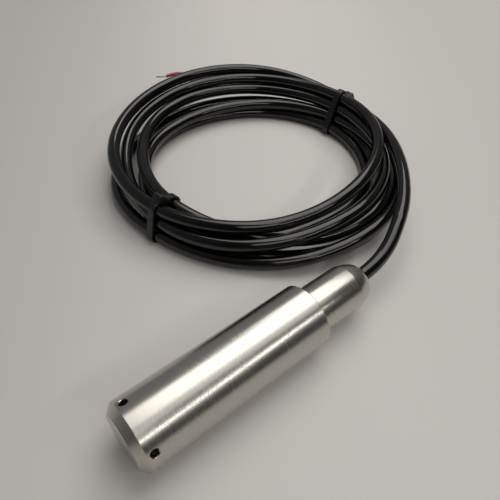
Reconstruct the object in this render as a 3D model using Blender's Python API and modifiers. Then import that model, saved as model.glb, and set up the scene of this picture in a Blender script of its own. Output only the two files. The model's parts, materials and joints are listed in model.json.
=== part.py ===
"""Submersible level probe: turned steel body, rear cap with its gland, and a coiled cable."""

import math

import bmesh
import bpy
from mathutils import Vector
from mathutils.geometry import interpolate_bezier

# Lengths are in metres and angles in degrees.
# The probe lies along X with its nose towards -X, on the plane Z = 0.

# Clearance kept between pieces that touch, and steps of a full turn
seat_gap = 0.0003
large_steps = 64
medium_steps = 28
small_steps = 20
coil_step_angle = 6

# Housing
body_diameter = 0.0270
body_length = 0.0836
nose_chamfer = 0.0030
nose_wall = 0.0025
rear_edge_bevel = 0.0005
port_count = 4
port_diameter = 0.0032
port_setback = 0.0056
port_first_angle = 65.7
port_edge_break = 0.0003
port_land = 0.0018
chamber_diameter = 0.0170

# Rear cap: a plug whose neck stands out of the housing and ends in a dome
neck_diameter = 0.0203
neck_length = 0.0227
dome_length = 0.0084
end_face_diameter = 0.0118
dome_rise = ((0.40, 0.15), (0.91, 0.43))
dome_segments = 6
spigot_length = 0.0140
spigot_chamfer = 0.0008
gland_bore_diameter = 0.0140
outlet_wall = 0.0082
outlet_edge_break = 0.0004
cap_ring_setback = 0.0035
cap_ring_section = 0.0018

# Pressure capsule
capsule_diameter = 0.0190
capsule_length = 0.0110
capsule_edge_bevel = 0.0004
capsule_ring_section = 0.0015
diaphragm_diameter = 0.0152
diaphragm_thickness = 0.0003
diaphragm_flat_radius = 0.0020
diaphragm_rim_width = 0.0012
diaphragm_wave_height = 0.00022
diaphragm_waves = 3
weld_ring_width = 0.0010
weld_ring_thickness = 0.0008
rear_recess_diameter = 0.0110
rear_recess_depth = 0.0010
pin_count = 4
pin_diameter = 0.0008
pin_spread = 0.0042
pin_socket_depth = 0.0020
pin_reach = 0.0030
vent_stub_diameter = 0.0016
vent_stub_bore = 0.0007
lock_ring_thickness = 0.0040
lock_ring_bore = 0.0120
lock_slot_width = 0.0030
lock_slot_depth = 0.0015

# Circuit board and what carries it
front_bay_room = 0.0064
rear_bay_room = 0.0010
holder_thickness = 0.0040
holder_bore = 0.0140
board_thickness = 0.0016
board_side_room = 0.0021
board_end_room = 0.0006
board_corner_bevel = 0.0008
chip_length = 0.0050
chip_width = 0.0040
chip_height = 0.0015
chip_leg_span = 0.0060
chip_leg_width = 0.0005
chip_leg_height = 0.0003
chip_leg_pairs = 4
capacitor_diameter = 0.0050
capacitor_height = 0.0055
capacitor_edge = 0.0004
capacitor_groove_height = 0.0010
arrester_diameter = 0.0036
arrester_length = 0.0060
arrester_cap_length = 0.0012
component_offset = 0.0036
terminal_length = 0.0070
terminal_width = 0.0080
terminal_height = 0.0060
terminal_pitch = 0.0040
terminal_entry_height = 0.0024
terminal_entry_depth = 0.0025
terminal_screw_diameter = 0.0028
terminal_screw_height = 0.0012
terminal_well_depth = 0.0018
terminal_slot_width = 0.0005
terminal_slot_depth = 0.0005

# Wires inside
sensor_wire_diameter = 0.0008
sensor_wire_reach = 0.0030
core_diameter = 0.0016
vent_tube_diameter = 0.0018
vent_drop = 0.0026
core_spread = 0.0024
core_height = 0.0009
vent_height = -0.0013

# Cable and its gland
cable_diameter = 0.0066
gland_washer_thickness = 0.0012
cable_seal_length = 0.0065
gland_screw_length = 0.0070
gland_slot_width = 0.0022
gland_slot_depth = 0.0012
clamp_length = 0.0030
clamp_diameter = 0.0096
clamp_groove_count = 2
clamp_groove_depth = 0.0005
cable_end_stand = 0.0006

# Coil: about six turns lie in a ring that is narrow at its two ties and wider between them
coil_centre = (0.0800, 0.0986)
tie_angles = (-172, 6)
tie_head_sides = (-1, 1)
tie_hold_angle = 4
tie_sections = ((0.0576, 0.0722, 0.0212), (0.0692, 0.0859, 0.0262))
# Between the ties: angle, then the ring's inner radius, outer radius and top
coil_sections = (
    (-130, 0.0565, 0.0755, 0.0212),
    (-95, 0.0575, 0.0825, 0.0240),
    (-65, 0.0610, 0.0850, 0.0268),
    (-30, 0.0685, 0.0845, 0.0270),
    (45, 0.0740, 0.0866, 0.0264),
    (70, 0.0690, 0.0880, 0.0266),
    (95, 0.0620, 0.0840, 0.0270),
    (120, 0.0575, 0.0800, 0.0268),
    (150, 0.0565, 0.0770, 0.0246),
)
coil_corner_radius = 0.0046
corner_segments = 3
section_smoothing_rounds = 6
tie_width = 0.0042
tie_thickness = 0.0012
tie_head_length = 0.0062
tie_head_width = 0.0056
tie_head_height = 0.0044
tie_end_length = 0.0090

# Free stretches of the cable, as hand-placed route points
lead_route = (
    (0.0683, 0.0006, 0.0138),
    (0.0745, 0.0017, 0.0144),
    (0.0795, 0.0028, 0.0155),
    (0.0842, 0.0043, 0.0170),
    (0.0889, 0.0064, 0.0187),
    (0.0935, 0.0092, 0.0203),
    (0.0981, 0.0131, 0.0216),
)
tail_route = (
    (0.1298, 0.1740, 0.0150),
    (0.1210, 0.1816, 0.0170),
    (0.1115, 0.1876, 0.0190),
    (0.1025, 0.1920, 0.0205),
)
red_core_route = (
    (0.1021, 0.1922, 0.0218),
    (0.0975, 0.1938, 0.0223),
    (0.0920, 0.1942, 0.0226),
    (0.0864, 0.1946, 0.0228),
)
red_tip_route = ((0.0861, 0.1946, 0.0228), (0.0835, 0.1962, 0.0230), (0.0812, 0.1985, 0.0230))
black_core_route = (
    (0.1024, 0.1932, 0.0202),
    (0.0978, 0.1960, 0.0196),
    (0.0930, 0.1986, 0.0186),
    (0.0884, 0.1998, 0.0178),
)
black_tip_route = ((0.0881, 0.1999, 0.0177), (0.0858, 0.2004, 0.0172), (0.0836, 0.2008, 0.0166))
tail_vent_route = (
    (0.1014, 0.1913, 0.0201),
    (0.0978, 0.1922, 0.0188),
    (0.0945, 0.1932, 0.0172),
)
tip_diameter = 0.0011
cable_point_spacing = 0.0150
wire_point_spacing = 0.0022

# Places worked out from the sizes above, measured from the nose face along the probe
body_radius = body_diameter / 2
neck_radius = neck_diameter / 2
cable_radius = cable_diameter / 2
capsule_radius = capsule_diameter / 2
main_bore_radius = neck_radius + seat_gap
capsule_bore_radius = capsule_radius + seat_gap
gland_bore_radius = gland_bore_diameter / 2
outlet_radius = cable_radius + seat_gap
overall_length = body_length + neck_length + dome_length
nose_x = -overall_length / 2
chamber_end = port_setback + port_diameter / 2 + port_land
capsule_start = chamber_end + seat_gap
capsule_end = capsule_start + capsule_length
lock_ring_start = capsule_end + seat_gap
lock_ring_end = lock_ring_start + lock_ring_thickness
main_bore_start = lock_ring_end + seat_gap
front_holder_start = lock_ring_end + front_bay_room
spigot_start = body_length - spigot_length
rear_holder_start = spigot_start - rear_bay_room - holder_thickness
board_start = front_holder_start + board_end_room
board_end = rear_holder_start + holder_thickness - board_end_room
board_half_width = main_bore_radius - seat_gap - board_side_room
board_top = board_thickness / 2
seat_on_board = board_top + seat_gap
outlet_seat = overall_length - outlet_wall
outer_washer_start = outlet_seat - seat_gap - gland_washer_thickness
seal_start = outer_washer_start - seat_gap - cable_seal_length
inner_washer_start = seal_start - seat_gap - gland_washer_thickness
gland_screw_start = inner_washer_start - seat_gap - gland_screw_length
clamp_start = gland_screw_start - seat_gap - clamp_length
cable_inner_end = clamp_start - cable_end_stand
pin_end = capsule_end + pin_reach
board_bay = rear_holder_start - seat_gap - (front_holder_start + holder_thickness)
component_pair_length = max(capacitor_diameter, arrester_length)
component_gap = (board_bay - chip_length - component_pair_length - terminal_length) / 3
coil_bottom = tie_thickness + seat_gap


def clear_scene():
    for old in list(bpy.data.objects):
        bpy.data.objects.remove(old, do_unlink=True)


def new_collection(name, parent):
    collection = bpy.data.collections.new(name)
    parent.children.link(collection)
    return collection


clear_scene()
probe_parts = new_collection("level_probe", bpy.context.scene.collection)
cutters = new_collection("cutters", bpy.context.scene.collection)


def finish(name, colour, roughness, metallic=0.0):
    material = bpy.data.materials.new(name)
    material.use_nodes = True
    shader = material.node_tree.nodes["Principled BSDF"]
    shader.inputs["Base Color"].default_value = (*colour, 1.0)
    shader.inputs["Roughness"].default_value = roughness
    shader.inputs["Metallic"].default_value = metallic
    material.diffuse_color = (*colour, 1.0)
    return material


turned_steel = finish("turned_steel", (0.62, 0.60, 0.56), 0.30, 1.0)
bright_steel = finish("bright_steel", (0.66, 0.65, 0.63), 0.20, 1.0)
foil_steel = finish("foil_steel", (0.70, 0.69, 0.67), 0.25, 1.0)
gold_plate = finish("gold_plate", (0.83, 0.62, 0.28), 0.25, 1.0)
tinned_copper = finish("tinned_copper", (0.55, 0.54, 0.52), 0.35, 1.0)
black_rubber = finish("black_rubber", (0.02, 0.02, 0.02), 0.60)
cable_jacket = finish("cable_jacket", (0.010, 0.010, 0.011), 0.16)
tie_nylon = finish("tie_nylon", (0.015, 0.015, 0.016), 0.38)
holder_nylon = finish("holder_nylon", (0.75, 0.73, 0.68), 0.50)
board_laminate = finish("board_laminate", (0.03, 0.16, 0.07), 0.40)
chip_resin = finish("chip_resin", (0.03, 0.03, 0.03), 0.45)
capacitor_sleeve = finish("capacitor_sleeve", (0.05, 0.06, 0.10), 0.30)
terminal_resin = finish("terminal_resin", (0.05, 0.22, 0.10), 0.40)
arrester_ceramic = finish("arrester_ceramic", (0.80, 0.78, 0.74), 0.35)
red_insulation = finish("red_insulation", (0.55, 0.02, 0.03), 0.35)
black_insulation = finish("black_insulation", (0.02, 0.02, 0.02), 0.35)
yellow_insulation = finish("yellow_insulation", (0.70, 0.50, 0.05), 0.35)
clear_tubing = finish("clear_tubing", (0.72, 0.72, 0.70), 0.30)

axis_frame = bpy.data.objects.new("probe_axis", None)
axis_frame.location = (nose_x, 0.0, body_radius)
probe_parts.objects.link(axis_frame)
coil_frame = bpy.data.objects.new("coil_axis", None)
coil_frame.location = (*coil_centre, 0.0)
probe_parts.objects.link(coil_frame)


def evaluated_mesh(shape):
    bpy.context.view_layer.update()
    graph = bpy.context.evaluated_depsgraph_get()
    return bpy.data.meshes.new_from_object(shape.evaluated_get(graph))


def shade_round(mesh, sharp_angle=30):
    mesh.shade_smooth()
    mesh.set_sharp_from_angle(angle=math.radians(sharp_angle))


def keep(shape, name, material, parent=None):
    shape.name = name
    shape.data.name = name
    shape.data.materials.clear()
    shape.data.materials.append(material)
    shape.parent = parent
    return shape


def make_cutter(shape):
    for holder in list(shape.users_collection):
        holder.objects.unlink(shape)
    cutters.objects.link(shape)
    shape.hide_render = True
    shape.display_type = "WIRE"
    return shape


def combine(target, tool, operation):
    step = target.modifiers.new(tool.name, "BOOLEAN")
    step.operation = operation
    step.solver = "EXACT"
    step.object = tool


def turned_shape(outline, steps):
    """Turn (depth, radius) points about the probe's axis: outer side first, nose to rear."""
    mesh = bpy.data.meshes.new("outline")
    points = [(radius, 0.0, -depth) for depth, radius in outline]
    edges = [(index, index + 1) for index in range(len(points) - 1)]
    if outline[0][1] > 0:
        edges.append((len(points) - 1, 0))
    mesh.from_pydata(points, edges, [])
    shape = bpy.data.objects.new("outline", mesh)
    probe_parts.objects.link(shape)
    turn = shape.modifiers.new("turn", "SCREW")
    turn.axis = "Z"
    turn.steps = steps
    turn.render_steps = steps
    turn.use_merge_vertices = True
    turn.merge_threshold = 0.00001
    solid = evaluated_mesh(shape)
    shape.modifiers.clear()
    shape.data = solid
    bpy.data.meshes.remove(mesh)
    shade_round(solid)
    return shape


def turned(name, outline, material, steps=small_steps):
    shape = keep(turned_shape(outline, steps), name, material, axis_frame)
    shape.rotation_euler = (0.0, math.radians(-90), 0.0)
    return shape


def ring_outline(start, end, inner, outer, bevel):
    return [
        (start, inner),
        (start, outer - bevel),
        (start + bevel, outer),
        (end - bevel, outer),
        (end, outer - bevel),
        (end, inner),
    ]


def o_ring_outline(middle, centre_radius, section, points=10):
    turns = [2 * math.pi * index / points for index in range(points)]
    return [
        (middle - section / 2 * math.cos(turn), centre_radius + section / 2 * math.sin(turn))
        for turn in turns
    ]


def box(size, centre, parent=axis_frame, bevel=0.0):
    """A box with its sizes and its middle given along the probe, across it and upwards."""
    mesh = bpy.data.meshes.new("box")
    shape_mesh = bmesh.new()
    bmesh.ops.create_cube(shape_mesh, size=1.0)
    bmesh.ops.scale(shape_mesh, vec=size, verts=shape_mesh.verts)
    shape_mesh.to_mesh(mesh)
    shape_mesh.free()
    shape = bpy.data.objects.new("box", mesh)
    probe_parts.objects.link(shape)
    shape.parent = parent
    shape.location = centre
    if bevel > 0:
        edge = shape.modifiers.new("edge", "BEVEL")
        edge.width = bevel
        edge.segments = 2
    return shape


def cylinder_cutter(name, radius, length, centre, rotation=(0.0, 0.0, 0.0), parent=axis_frame):
    mesh = bpy.data.meshes.new(name)
    shape_mesh = bmesh.new()
    bmesh.ops.create_cone(
        shape_mesh, cap_ends=True, segments=16, radius1=radius, radius2=radius, depth=length
    )
    shape_mesh.to_mesh(mesh)
    shape_mesh.free()
    shape = bpy.data.objects.new(name, mesh)
    shape.parent = parent
    shape.location = centre
    shape.rotation_euler = rotation
    probe_parts.objects.link(shape)
    return make_cutter(shape)


def smooth_route(points, spacing):
    """Points about one spacing apart on a smooth curve through the given points."""
    knots = [Vector(point) for point in points]
    first = knots[0] * 2 - knots[1]
    last = knots[-1] * 2 - knots[-2]
    knots = [first, *knots, last]
    route = []
    for index in range(1, len(knots) - 2):
        before, start, end, after = knots[index - 1 : index + 3]
        pull = (end - start).length / 3
        leave = (end - before).normalized() * pull
        arrive = (after - start).normalized() * pull
        count = max(2, round((end - start).length / spacing) + 1)
        route += interpolate_bezier(start, start + leave, end - arrive, end, count)[:-1]
    route.append(knots[-2])
    return route


def tube(name, points, diameter, material, spacing, resolution=2):
    route = smooth_route(points, spacing)
    curve = bpy.data.curves.new(name, "CURVE")
    curve.dimensions = "3D"
    curve.bevel_depth = diameter / 2
    curve.bevel_resolution = resolution
    curve.use_fill_caps = True
    spline = curve.splines.new("POLY")
    spline.points.add(len(route) - 1)
    for knot, place in zip(spline.points, route):
        knot.co = (*place, 1.0)
    curve.materials.append(material)
    shape = bpy.data.objects.new(name, curve)
    probe_parts.objects.link(shape)
    return shape


def on_probe(depth, across=0.0, up=0.0):
    return (nose_x + depth, across, body_radius + up)


def sensor_housing():
    outline = [
        (0.0, 0.0),
        (0.0, body_radius - nose_chamfer),
        (nose_chamfer, body_radius),
        (body_length - rear_edge_bevel, body_radius),
        (body_length, body_radius - rear_edge_bevel),
        (body_length, main_bore_radius + rear_edge_bevel),
        (body_length - rear_edge_bevel, main_bore_radius),
        (main_bore_start, main_bore_radius),
        (main_bore_start, capsule_bore_radius),
        (chamber_end, capsule_bore_radius),
        (chamber_end, chamber_diameter / 2),
        (nose_wall, chamber_diameter / 2),
        (nose_wall, 0.0),
    ]
    housing = turned("sensor_housing", outline, turned_steel, large_steps)
    flare_start = body_radius - port_edge_break
    beyond = port_diameter
    drill_outline = [
        (-body_radius - beyond, 0.0),
        (-body_radius - beyond, port_diameter / 2 + beyond + port_edge_break),
        (-flare_start, port_diameter / 2),
        (-chamber_diameter / 4, port_diameter / 2),
        (-chamber_diameter / 4, 0.0),
    ]
    for index in range(port_count):
        drill = make_cutter(turned_shape(drill_outline, small_steps))
        drill.name = f"port_drill_{index + 1}"
        drill.parent = axis_frame
        drill.location = (port_setback, 0.0, 0.0)
        angle = port_first_angle + 360 * index / port_count
        drill.rotation_euler = (math.radians(angle - 90), 0.0, 0.0)
        combine(housing, drill, "DIFFERENCE")


def dome_points(start, start_radius, end, end_radius):
    length = end - start
    drop = start_radius - end_radius
    handles = [(start + along * length, start_radius - fall * drop) for along, fall in dome_rise]
    corners = [Vector((*place, 0.0)) for place in ((start, start_radius), *handles, (end, end_radius))]
    curve = interpolate_bezier(*corners, dome_segments + 1)
    return [(place.x, place.y) for place in curve]


def rear_cap():
    neck_end = body_length + neck_length
    groove_half = cap_ring_section / 2 + seat_gap
    groove_middle = body_length - cap_ring_setback
    groove_radius = neck_radius - cap_ring_section - seat_gap
    outline = [
        (spigot_start, gland_bore_radius),
        (spigot_start, neck_radius - spigot_chamfer),
        (spigot_start + spigot_chamfer, neck_radius),
        (groove_middle - groove_half, neck_radius),
        (groove_middle - groove_half, groove_radius),
        (groove_middle + groove_half, groove_radius),
        (groove_middle + groove_half, neck_radius),
        *dome_points(neck_end, neck_radius, overall_length, end_face_diameter / 2),
        (overall_length, outlet_radius + outlet_edge_break),
        (overall_length - outlet_edge_break, outlet_radius),
        (outlet_seat, outlet_radius),
        (outlet_seat, gland_bore_radius),
    ]
    turned("rear_cap", outline, turned_steel, large_steps)
    ring_radius = neck_radius - cap_ring_section / 2
    ring = o_ring_outline(groove_middle, ring_radius, cap_ring_section)
    turned("cap_o_ring", ring, black_rubber, medium_steps)


def capsule_body():
    recess_radius = diaphragm_diameter / 2 + seat_gap
    recess_depth = diaphragm_thickness + weld_ring_thickness + 2 * seat_gap
    groove_radius = capsule_radius - capsule_ring_section - seat_gap
    groove_half = capsule_ring_section / 2 + seat_gap
    middle = capsule_start + capsule_length / 2
    outline = [
        (capsule_start + recess_depth, 0.0),
        (capsule_start + recess_depth, recess_radius),
        (capsule_start, recess_radius),
        (capsule_start, capsule_radius - capsule_edge_bevel),
        (capsule_start + capsule_edge_bevel, capsule_radius),
        (middle - groove_half, capsule_radius),
        (middle - groove_half, groove_radius),
        (middle + groove_half, groove_radius),
        (middle + groove_half, capsule_radius),
        (capsule_end - capsule_edge_bevel, capsule_radius),
        (capsule_end, capsule_radius - capsule_edge_bevel),
        (capsule_end, rear_recess_diameter / 2),
        (capsule_end - rear_recess_depth, rear_recess_diameter / 2),
        (capsule_end - rear_recess_depth, 0.0),
    ]
    capsule = turned("capsule_body", outline, bright_steel, medium_steps)
    socket_length = rear_recess_depth + pin_socket_depth
    socket_middle = capsule_end - rear_recess_depth - pin_socket_depth + socket_length / 2
    sockets = [(place, pin_diameter / 2) for place in pin_places()]
    sockets.append(((0.0, 0.0), vent_stub_diameter / 2))
    for index, (place, radius) in enumerate(sockets):
        centre = (socket_middle, *place)
        drill = cylinder_cutter(
            f"capsule_socket_{index + 1}",
            radius + seat_gap,
            socket_length,
            centre,
            (0.0, math.radians(90), 0.0),
        )
        combine(capsule, drill, "DIFFERENCE")
    ring_radius = capsule_radius - capsule_ring_section / 2
    ring = o_ring_outline(middle, ring_radius, capsule_ring_section)
    turned("capsule_o_ring", ring, black_rubber, medium_steps)


def capsule_diaphragm():
    front = capsule_start + weld_ring_thickness + seat_gap
    edge = diaphragm_diameter / 2
    wave_end = edge - diaphragm_rim_width
    count = diaphragm_waves * 4
    radii = [
        diaphragm_flat_radius + (wave_end - diaphragm_flat_radius) * index / count
        for index in range(count + 1)
    ]
    crest = diaphragm_wave_height / 2

    def dip(index):
        return crest * (1 - math.cos(2 * math.pi * diaphragm_waves * index / count))

    face = [(front - dip(index), radius) for index, radius in enumerate(radii)]
    back = [(depth + diaphragm_thickness, radius) for depth, radius in reversed(face)]
    outline = [
        (front, 0.0),
        *face,
        (front, edge),
        (front + diaphragm_thickness, edge),
        *back,
        (front + diaphragm_thickness, 0.0),
    ]
    turned("capsule_diaphragm", outline, foil_steel)
    ring = ring_outline(
        capsule_start, capsule_start + weld_ring_thickness, edge - weld_ring_width, edge, seat_gap / 2
    )
    turned("capsule_weld_ring", ring, bright_steel, medium_steps)


def pin_places():
    half = pin_spread / 2
    corners = ((-1, -1), (-1, 1), (1, 1), (1, -1))
    return [(side * half, level * half) for side, level in corners[:pin_count]]


def capsule_contacts():
    socket_floor = capsule_end - rear_recess_depth - pin_socket_depth
    radius = pin_diameter / 2
    bevel = radius / 3
    for index, (across, up) in enumerate(pin_places()):
        outline = [
            (socket_floor + seat_gap, 0.0),
            (socket_floor + seat_gap, radius),
            (pin_end - bevel, radius),
            (pin_end, radius - bevel),
            (pin_end, 0.0),
        ]
        pin = turned(f"capsule_pin_{index + 1}", outline, gold_plate, small_steps // 3)
        pin.location = (0.0, across, up)
    radius = vent_stub_diameter / 2
    stub = ring_outline(socket_floor + seat_gap, pin_end, vent_stub_bore / 2, radius, bevel)
    turned("capsule_vent_stub", stub, bright_steel, small_steps // 2)


def capsule_lock_ring():
    outer = capsule_bore_radius - seat_gap
    outline = ring_outline(
        lock_ring_start, lock_ring_end, lock_ring_bore / 2, outer, capsule_edge_bevel
    )
    ring = turned("capsule_lock_ring", outline, bright_steel, medium_steps)
    slot = box(
        (2 * lock_slot_depth, 3 * body_diameter, lock_slot_width), (lock_ring_end, 0.0, 0.0)
    )
    slot.name = "lock_ring_slot"
    combine(ring, make_cutter(slot), "DIFFERENCE")


def board_holder(name, start):
    outer = main_bore_radius - seat_gap
    outline = ring_outline(start, start + holder_thickness, holder_bore / 2, outer, seat_gap)
    holder = turned(name, outline, holder_nylon, medium_steps)
    slot_size = (
        3 * holder_thickness,
        2 * (board_half_width + seat_gap),
        board_thickness + 2 * seat_gap,
    )
    slot = box(slot_size, (start + holder_thickness / 2, 0.0, 0.0))
    slot.name = f"{name}_slot"
    combine(holder, make_cutter(slot), "DIFFERENCE")


def circuit_board():
    length = board_end - board_start
    size = (length, 2 * board_half_width, board_thickness)
    board = box(size, ((board_start + board_end) / 2, 0.0, 0.0), bevel=board_corner_bevel / 4)
    keep(board, "circuit_board", board_laminate, axis_frame)


def amplifier_chip(middle):
    size = (chip_length, chip_width, chip_height)
    chip = box(size, (middle, 0.0, seat_on_board + chip_height / 2))
    keep(chip, "amplifier_chip", chip_resin, axis_frame)
    pitch = chip_length / chip_leg_pairs
    for index in range(chip_leg_pairs):
        place = middle + (index - (chip_leg_pairs - 1) / 2) * pitch
        legs = box(
            (chip_leg_width, chip_leg_span, chip_leg_height),
            (place, 0.0, seat_on_board + chip_leg_height / 2 + chip_height / 4),
        )
        legs.name = f"chip_legs_{index + 1}"
        combine(chip, make_cutter(legs), "UNION")


def board_capacitor(middle, across):
    radius = capacitor_diameter / 2
    edge = capacitor_edge
    outline = [
        (-capacitor_height, 0.0),
        (-capacitor_height, radius - edge),
        (-capacitor_height + edge, radius),
        (-capacitor_groove_height - edge / 2, radius),
        (-capacitor_groove_height, radius - edge / 2),
        (-capacitor_groove_height + edge / 2, radius),
        (-edge, radius),
        (0.0, radius - edge),
        (0.0, 0.0),
    ]
    can = keep(turned_shape(outline, small_steps), "board_capacitor", capacitor_sleeve, axis_frame)
    can.location = (middle, across, seat_on_board)


def surge_arrester(middle, across):
    radius = arrester_diameter / 2
    start = middle - arrester_length / 2
    end = middle + arrester_length / 2
    waist = radius - seat_gap
    outline = [
        (start, 0.0),
        (start, radius),
        (start + arrester_cap_length, radius),
        (start + arrester_cap_length, waist),
        (end - arrester_cap_length, waist),
        (end - arrester_cap_length, radius),
        (end, radius),
        (end, 0.0),
    ]
    arrester = turned("surge_arrester", outline, arrester_ceramic, small_steps * 2 // 3)
    arrester.location = (0.0, across, seat_on_board + radius)


def terminal_block(start):
    middle = start + terminal_length / 2
    centre = (middle, 0.0, seat_on_board + terminal_height / 2)
    block = box((terminal_length, terminal_width, terminal_height), centre, bevel=seat_gap)
    keep(block, "terminal_block", terminal_resin, axis_frame)
    top = seat_on_board + terminal_height
    entry_radius = core_diameter / 2 + seat_gap
    well_radius = terminal_screw_diameter / 2 + seat_gap
    for index, across in enumerate((-terminal_pitch / 2, terminal_pitch / 2)):
        entry = cylinder_cutter(
            f"terminal_entry_{index + 1}",
            entry_radius,
            2 * terminal_entry_depth,
            (start + terminal_length, across, seat_on_board + terminal_entry_height),
            (0.0, math.radians(90), 0.0),
        )
        combine(block, entry, "DIFFERENCE")
        well = cylinder_cutter(
            f"terminal_well_{index + 1}", well_radius, 2 * terminal_well_depth, (middle, across, top)
        )
        combine(block, well, "DIFFERENCE")
        terminal_screw(index, (middle, across, top - terminal_well_depth + seat_gap))


def terminal_screw(index, foot):
    radius = terminal_screw_diameter / 2
    edge = radius / 5
    outline = [
        (-terminal_screw_height, 0.0),
        (-terminal_screw_height, radius - edge),
        (-terminal_screw_height + edge, radius),
        (0.0, radius),
        (0.0, 0.0),
    ]
    screw = keep(
        turned_shape(outline, small_steps * 2 // 3), f"terminal_screw_{index + 1}", bright_steel, axis_frame
    )
    screw.location = foot
    slot_size = (3 * terminal_screw_diameter, terminal_slot_width, 2 * terminal_slot_depth)
    slot = box(slot_size, (foot[0], foot[1], foot[2] + terminal_screw_height))
    slot.name = f"terminal_slot_{index + 1}"
    combine(screw, make_cutter(slot), "DIFFERENCE")


def board_assembly():
    board_holder("board_holder_front", front_holder_start)
    board_holder("board_holder_rear", rear_holder_start)
    circuit_board()
    chip_start = front_holder_start + holder_thickness + component_gap
    amplifier_chip(chip_start + chip_length / 2)
    pair_start = chip_start + chip_length + component_gap
    pair_middle = pair_start + component_pair_length / 2
    board_capacitor(pair_middle, component_offset)
    surge_arrester(pair_middle, -component_offset)
    terminal_block(rear_holder_start - seat_gap - terminal_length)


def inner_wires():
    side_height = board_top + seat_gap + sensor_wire_diameter / 2
    wire_end = board_start + sensor_wire_reach
    start = pin_end + seat_gap
    for index, (across, up) in enumerate(pin_places()):
        side = math.copysign(side_height, up)
        points = (
            on_probe(start, across, up),
            on_probe(start + (board_start - start) / 3, across, up),
            on_probe(board_start - seat_gap, across, (up + 3 * side) / 4),
            on_probe(wire_end, across, side),
        )
        tube(f"sensor_wire_{index + 1}", points, sensor_wire_diameter, yellow_insulation, wire_point_spacing)
    entry_floor = rear_holder_start - seat_gap - terminal_entry_depth + seat_gap
    entry_up = seat_on_board + terminal_entry_height
    cable_face = cable_inner_end - seat_gap
    middle = (board_end + cable_face) / 2
    cores = (("core_red", 1, red_insulation), ("core_black", -1, black_insulation))
    for name, side, material in cores:
        entry_across = side * terminal_pitch / 2
        points = (
            on_probe(entry_floor, entry_across, entry_up),
            on_probe(rear_holder_start + holder_thickness, entry_across, entry_up),
            on_probe(middle, side * (terminal_pitch + core_spread) / 4, (entry_up + core_height) / 2),
            on_probe(cable_face - core_diameter, side * core_spread / 2, core_height),
            on_probe(cable_face, side * core_spread / 2, core_height),
        )
        tube(name, points, core_diameter, material, wire_point_spacing)
    points = (
        on_probe(start, 0.0, 0.0),
        on_probe(start + vent_tube_diameter, 0.0, 0.0),
        on_probe(board_start - vent_tube_diameter / 2, 0.0, -vent_drop),
        on_probe((board_start + board_end) / 2, 0.0, -vent_drop),
        on_probe(board_end, 0.0, -vent_drop),
        on_probe(cable_face - vent_tube_diameter, 0.0, vent_height),
        on_probe(cable_face, 0.0, vent_height),
    )
    tube("vent_tube", points, vent_tube_diameter, clear_tubing, wire_point_spacing * 2)


def cable_gland():
    inner = cable_radius + seat_gap
    outer = gland_bore_radius - seat_gap
    bevel = seat_gap
    for name, start in (
        ("gland_washer_outer", outer_washer_start),
        ("gland_washer_inner", inner_washer_start),
    ):
        outline = ring_outline(start, start + gland_washer_thickness, inner, outer, bevel)
        turned(name, outline, bright_steel, medium_steps)
    seal = ring_outline(seal_start, seal_start + cable_seal_length, inner, outer, 4 * bevel)
    turned("cable_seal", seal, black_rubber, medium_steps)
    screw_end = gland_screw_start + gland_screw_length
    outline = ring_outline(gland_screw_start, screw_end, inner, outer, bevel)
    screw = turned("gland_screw", outline, bright_steel, medium_steps)
    slot = box(
        (2 * gland_slot_depth, 2 * gland_bore_diameter, gland_slot_width),
        (gland_screw_start, 0.0, 0.0),
    )
    slot.name = "gland_screw_slot"
    combine(screw, make_cutter(slot), "DIFFERENCE")
    clamp_outer = clamp_diameter / 2
    pitch = clamp_length / clamp_groove_count
    flank = pitch / 6
    outline = [(clamp_start, inner), (clamp_start, clamp_outer)]
    for index in range(clamp_groove_count):
        start = clamp_start + index * pitch
        outline += [
            (start + flank, clamp_outer),
            (start + 2 * flank, clamp_outer - clamp_groove_depth),
            (start + pitch - 2 * flank, clamp_outer - clamp_groove_depth),
            (start + pitch - flank, clamp_outer),
        ]
    outline += [(clamp_start + clamp_length, clamp_outer), (clamp_start + clamp_length, inner)]
    turned("cable_clamp", outline, tinned_copper)


def all_sections():
    """The ring's sections all the way round, the two held straight under the ties among them."""
    sections = list(coil_sections)
    for angle, section in zip(tie_angles, tie_sections):
        sections += [(angle + side * tie_hold_angle, *section) for side in (-1, 1)]
    sections.sort()
    first, last = sections[0], sections[-1]
    return [(last[0] - 360, *last[1:]), *sections, (first[0] + 360, *first[1:])]


def section_at(angle):
    sections = all_sections()
    for start, end in zip(sections, sections[1:]):
        if start[0] <= angle <= end[0]:
            share = (angle - start[0]) / (end[0] - start[0])
            return [low + share * (high - low) for low, high in zip(start[1:], end[1:])]


def smooth_sections(angles):
    """The ring's section at each angle, eased into its neighbours except under the ties."""
    sections = [section_at(angle) for angle in angles]
    for _ in range(section_smoothing_rounds):
        neighbours = zip(sections[-1:] + sections[:-1], sections[1:] + sections[:1])
        eased = [
            [(before + 2 * here + after) / 4 for before, here, after in zip(first, middle, last)]
            for middle, (first, last) in zip(sections, neighbours)
        ]
        for index, angle in enumerate(angles):
            if all(abs(angle - tie) > tie_hold_angle for tie in tie_angles):
                sections[index] = eased[index]
    return sections


def section_loop(section, offset):
    """A rounded section of the ring grown by an offset, as (radius, height) points."""
    inner, outer, top = section
    corner = coil_corner_radius + offset
    sides = (outer + offset - corner, inner - offset + corner)
    levels = (top + offset - corner, coil_bottom - offset + corner)
    loop = []
    for quarter, (side, level) in enumerate(((0, 0), (1, 0), (1, 1), (0, 1))):
        for step in range(corner_segments + 1):
            angle = math.radians(90 * (quarter + step / corner_segments))
            place = (sides[side] + corner * math.cos(angle), levels[level] + corner * math.sin(angle))
            loop.append(place)
    return loop


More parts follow.
